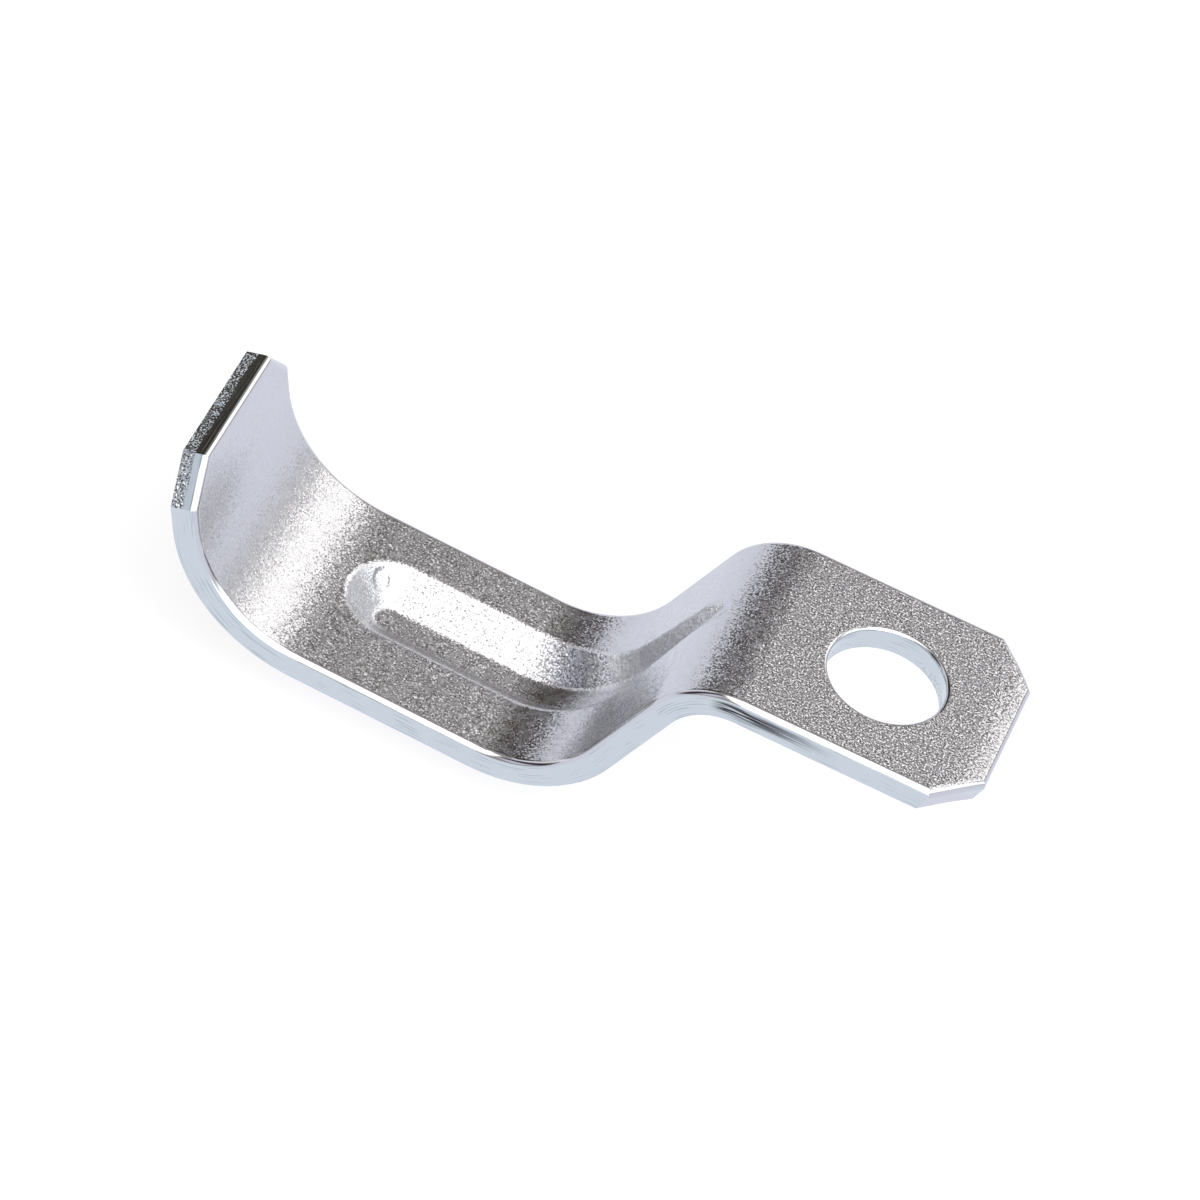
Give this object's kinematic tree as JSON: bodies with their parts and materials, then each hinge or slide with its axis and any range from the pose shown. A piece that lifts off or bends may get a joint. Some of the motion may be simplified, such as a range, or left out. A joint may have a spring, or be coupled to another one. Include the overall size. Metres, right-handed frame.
{
  "type": "conduit strap",
  "caption": "Conduit strap pressed from zinc-plated steel strip: a flat tab with a screw hole, a deep open saddle with a stiffening rib, and a curled lip with cropped corners.",
  "frame": {"origin": "centre of the screw hole on the tab's upper face, the face that lies against the wall or ceiling", "axes": "+Z out of the tab's upper face towards the wall or ceiling, +X along the strip from the saddle to the tab's free end, Y across the strip"},
  "size_m": [0.0562, 0.016, 0.0181],
  "materials": {
    "zinc_plated_steel": "bright zinc plate over pressed steel, fine pickled grain, sheared edges smoother"
  },
  "bodies": {
    "root": {"strap": "zinc_plated_steel"}
  },
  "joints": []
}
